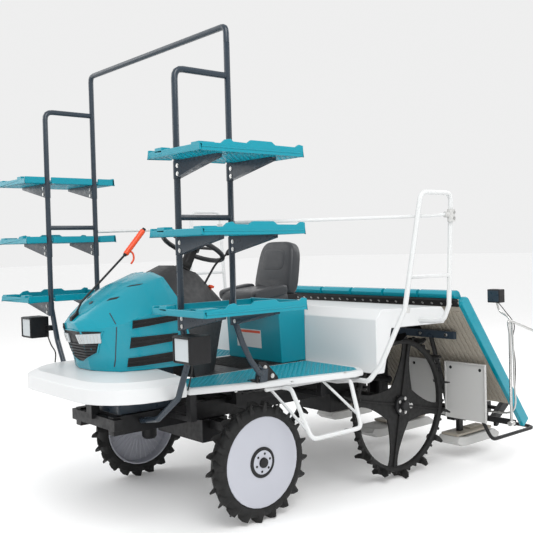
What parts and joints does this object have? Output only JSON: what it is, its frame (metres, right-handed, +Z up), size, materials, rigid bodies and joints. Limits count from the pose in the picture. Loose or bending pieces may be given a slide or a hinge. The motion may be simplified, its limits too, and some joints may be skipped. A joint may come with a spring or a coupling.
{
  "type": "riding rice transplanter",
  "caption": "Ride-on rice transplanter with a seedling rack over the bonnet, a driver's seat and a lifting planting unit behind.",
  "frame": {"origin": "on the ground under the middle of the machine's bounding box", "axes": "+Z up, the machine faces -Y, its left side is +X"},
  "size_m": [2.255, 3.1623, 2.6168],
  "materials": {
    "rubber": "matt black rubber",
    "disc": "pale grey moulded disc",
    "teal_plastic": "glossy teal",
    "white_plastic": "glossy white",
    "white_paint": "white powder coat",
    "charcoal_plastic": "grained charcoal",
    "rack_paint": "dark slate satin paint",
    "grey_plastic": "grey-beige plastic",
    "steel": "zinc plated",
    "black_paint": "black paint"
  },
  "bodies": {
    "chassis": {"main_frame": "black_paint", "engine": "black_paint", "front_axle": "black_paint", "rear_axle": "black_paint", "front_cowl": "white_plastic", "floor": "charcoal_plastic", "step_left": "teal_plastic", "step_right": "teal_plastic", "foot_step_left": "white_paint", "foot_step_right": "white_paint", "dash_cover": "charcoal_plastic", "steering_column": "charcoal_plastic", "seat_base": "teal_plastic", "seat": "charcoal_plastic", "rear_deck": "white_plastic", "deck_stay": "black_paint", "handrail_left": "white_paint", "handrail_right": "white_paint", "handrail_bar_left": "white_paint", "handrail_bar_right": "white_paint", "rack_front_post_left": "rack_paint", "rack_front_post_right": "rack_paint", "rack_rear_post_left": "rack_paint", "rack_rear_post_right": "rack_paint", "rack_crossbar": "rack_paint", "tray_bottom_left": "teal_plastic", "tray_middle_left": "teal_plastic", "tray_top_left": "teal_plastic", "tray_bottom_right": "teal_plastic", "tray_middle_right": "teal_plastic", "tray_top_right": "teal_plastic", "front_lamp_left": "charcoal_plastic", "front_lamp_right": "charcoal_plastic"},
    "knuckle_left": {"front_knuckle_left": "black_paint"},
    "front_wheel_left": {"front_tyre_left": "rubber", "front_disc_left": "disc"},
    "rear_wheel_left": {"rear_wheel_left": "rubber"},
    "side_marker_left": {"side_marker_left": "steel"},
    "knuckle_right": {"front_knuckle_right": "black_paint"},
    "front_wheel_right": {"front_tyre_right": "rubber", "front_disc_right": "disc"},
    "rear_wheel_right": {"rear_wheel_right": "rubber"},
    "side_marker_right": {"side_marker_right": "steel"},
    "steering_wheel": {"steering_wheel": "charcoal_plastic"},
    "bonnet": {"bonnet": "teal_plastic", "centre_marker": "steel"},
    "lower_link": {"lower_link": "black_paint"},
    "upper_link": {"upper_link": "black_paint"},
    "planter": {"planter_frame": "black_paint", "mud_guard_left": "grey_plastic", "mud_guard_right": "grey_plastic", "float_centre": "grey_plastic", "float_left": "grey_plastic", "float_right": "grey_plastic"},
    "seedling_table": {"seedling_table": "teal_plastic"},
    "rotor_1": {"planting_rotor_1": "black_paint"},
    "rotor_2": {"planting_rotor_2": "black_paint"},
    "rotor_3": {"planting_rotor_3": "black_paint"}
  },
  "joints": [
    {"name": "steer_left", "type": "hinge", "parent": "chassis", "child": "knuckle_left", "pos_m": [0.485, -0.70125, 0.32343], "axis": [0, 0, 1], "range_deg": [-45, 45]},
    {"name": "steer_right", "type": "hinge", "parent": "chassis", "child": "knuckle_right", "pos_m": [-0.485, -0.70125, 0.32343], "axis": [0, 0, 1], "range_deg": [-45, 45]},
    {"name": "steering_wheel_turn", "type": "hinge", "parent": "chassis", "child": "steering_wheel", "pos_m": [0, -0.65725, 1.488], "axis": [0, 0.454, 0.891], "range_deg": [-360, 360]},
    {"name": "front_wheel_left_roll", "type": "hinge", "parent": "knuckle_left", "child": "front_wheel_left", "pos_m": [0.6185, -0.70125, 0.32343], "axis": [1, 0, 0], "continuous": true},
    {"name": "rear_wheel_left_roll", "type": "hinge", "parent": "chassis", "child": "rear_wheel_left", "pos_m": [0.64, 0.44575, 0.46177], "axis": [1, 0, 0], "continuous": true},
    {"name": "front_wheel_right_roll", "type": "hinge", "parent": "knuckle_right", "child": "front_wheel_right", "pos_m": [-0.6185, -0.70125, 0.32343], "axis": [1, 0, 0], "continuous": true},
    {"name": "rear_wheel_right_roll", "type": "hinge", "parent": "chassis", "child": "rear_wheel_right", "pos_m": [-0.64, 0.44575, 0.46177], "axis": [1, 0, 0], "continuous": true},
    {"name": "bonnet_lid", "type": "hinge", "parent": "chassis", "child": "bonnet", "pos_m": [0, -0.99125, 1.342], "axis": [-1, 0, 0], "range_deg": [0, 55]},
    {"name": "lift", "type": "hinge", "parent": "chassis", "child": "lower_link", "pos_m": [0, 0.34875, 0.6], "axis": [1, 0, 0], "range_deg": [-5, 33]},
    {"name": "upper_link_swing", "type": "hinge", "parent": "chassis", "child": "upper_link", "pos_m": [0, 0.34875, 0.76], "axis": [1, 0, 0], "range_deg": [-5, 33]},
    {"name": "planter_level", "type": "hinge", "parent": "lower_link", "child": "planter", "pos_m": [0, 0.95021, 0.49827], "axis": [1, 0, 0], "range_deg": [-33, 5]},
    {"name": "table_shift", "type": "slide", "parent": "planter", "child": "seedling_table", "axis": [1, 0, 0], "range_m": [-0.14, 0.14]},
    {"name": "rotor_1_turn", "type": "hinge", "parent": "planter", "child": "rotor_1", "pos_m": [-0.6, 1.41875, 0.3], "axis": [1, 0, 0], "continuous": true},
    {"name": "rotor_2_turn", "type": "hinge", "parent": "planter", "child": "rotor_2", "pos_m": [0, 1.41875, 0.3], "axis": [1, 0, 0], "continuous": true},
    {"name": "rotor_3_turn", "type": "hinge", "parent": "planter", "child": "rotor_3", "pos_m": [0.6, 1.41875, 0.3], "axis": [1, 0, 0], "continuous": true},
    {"name": "side_marker_left_fold", "type": "hinge", "parent": "planter", "child": "side_marker_left", "pos_m": [1.112, 0.95875, 0.33], "axis": [0, 1, 0], "range_deg": [0, 88]},
    {"name": "side_marker_right_fold", "type": "hinge", "parent": "planter", "child": "side_marker_right", "pos_m": [-1.112, 0.95875, 0.33], "axis": [0, -1, 0], "range_deg": [0, 88]}
  ],
  "couplings": [
    {"joint": "steer_right", "follows": "steer_left", "ratio": 1},
    {"joint": "steering_wheel_turn", "follows": "steer_left", "ratio": 8},
    {"joint": "upper_link_swing", "follows": "lift", "ratio": 1},
    {"joint": "planter_level", "follows": "lift", "ratio": -1},
    {"joint": "rotor_1_turn", "follows": "rotor_2_turn", "ratio": 1},
    {"joint": "rotor_3_turn", "follows": "rotor_2_turn", "ratio": 1}
  ]
}
